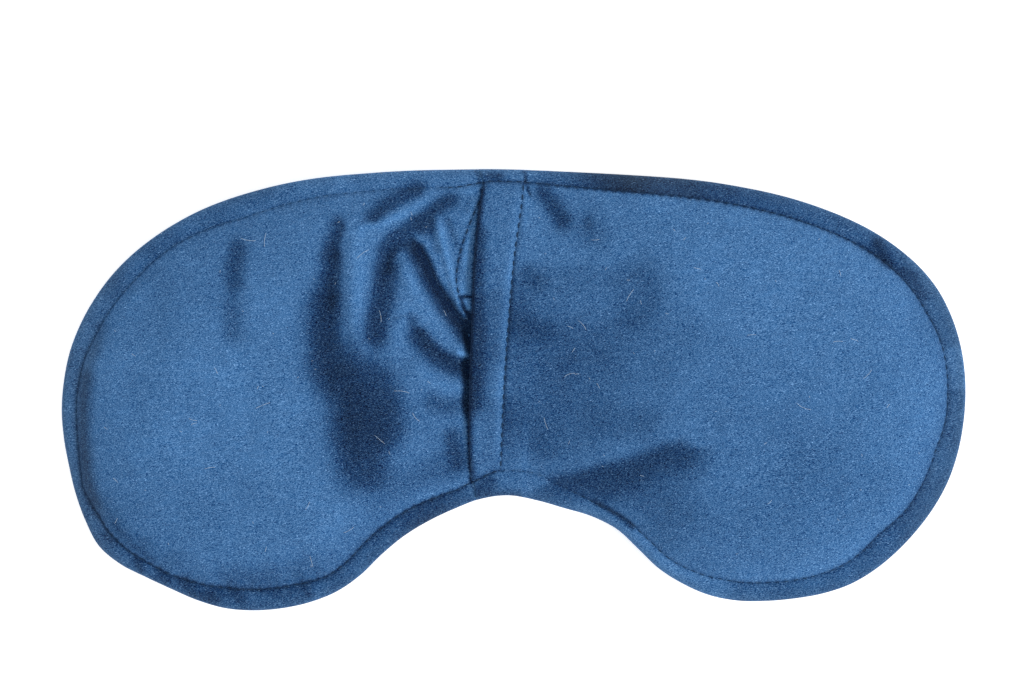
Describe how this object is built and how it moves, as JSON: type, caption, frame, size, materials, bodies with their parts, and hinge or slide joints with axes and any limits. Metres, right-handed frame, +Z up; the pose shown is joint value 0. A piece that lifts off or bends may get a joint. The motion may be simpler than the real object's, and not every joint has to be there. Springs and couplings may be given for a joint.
{
  "type": "sleep eye mask",
  "caption": "Strapless velvet eye mask with a nose notch: a sewn cover with an envelope opening on its back and a removable grain-filled cotton pouch inside.",
  "frame": {"origin": "bottom centre of the bounding box, on the flat front cloth under the nose bridge", "axes": "+X along the mask's width, +Y towards the brow edge, +Z up out of the side with the opening"},
  "size_m": [0.2202, 0.1076, 0.012],
  "materials": {
    "velvet": "short-pile velvet, matt, with a soft sheen that changes with the lie of the pile",
    "thread": "fine sewing thread, close to the velvet's colour",
    "cotton": "plain-woven undyed cotton",
    "grain": "loose flax seed, slightly glossy"
  },
  "bodies": {
    "bridge": {"front_cloth_bridge": "velvet", "back_cloth_bridge": "velvet", "back_border_brow": "velvet", "back_border_nose": "velvet", "edge_allowance_brow": "velvet", "edge_allowance_nose": "velvet", "edge_stitch_brow": "thread", "edge_stitch_nose": "thread", "underlap_hem": "velvet", "underlap_stitch": "thread", "flap_stitch": "thread", "pouch_bridge": "cotton", "chamber_stitch_left": "thread", "chamber_stitch_right": "thread"},
    "left_lobe": {"front_cloth_left": "velvet", "back_cloth_left": "velvet", "pouch_base_left": "cotton", "pouch_top_left": "cotton", "grain_fill_left": "grain", "edge_allowance_left": "velvet", "edge_stitch_left": "thread"},
    "right_lobe": {"front_cloth_right": "velvet", "back_cloth_right": "velvet", "pouch_base_right": "cotton", "pouch_top_right": "cotton", "grain_fill_right": "grain", "edge_allowance_right": "velvet", "edge_stitch_right": "thread"},
    "flap": {"opening_flap": "velvet"}
  },
  "joints": [
    {"name": "left_fold", "type": "hinge", "parent": "bridge", "child": "left_lobe", "pos_m": [-0.014, 0, 0.005], "axis": [0, 1, 0], "range_deg": [0, 90]},
    {"name": "right_fold", "type": "hinge", "parent": "bridge", "child": "right_lobe", "pos_m": [0.01, 0, 0.0054], "axis": [0, -1, 0], "range_deg": [0, 90]},
    {"name": "flap_lift", "type": "hinge", "parent": "bridge", "child": "flap", "pos_m": [0.00045, 0, 0.0068], "axis": [0, 1, 0], "range_deg": [0, 60]}
  ]
}
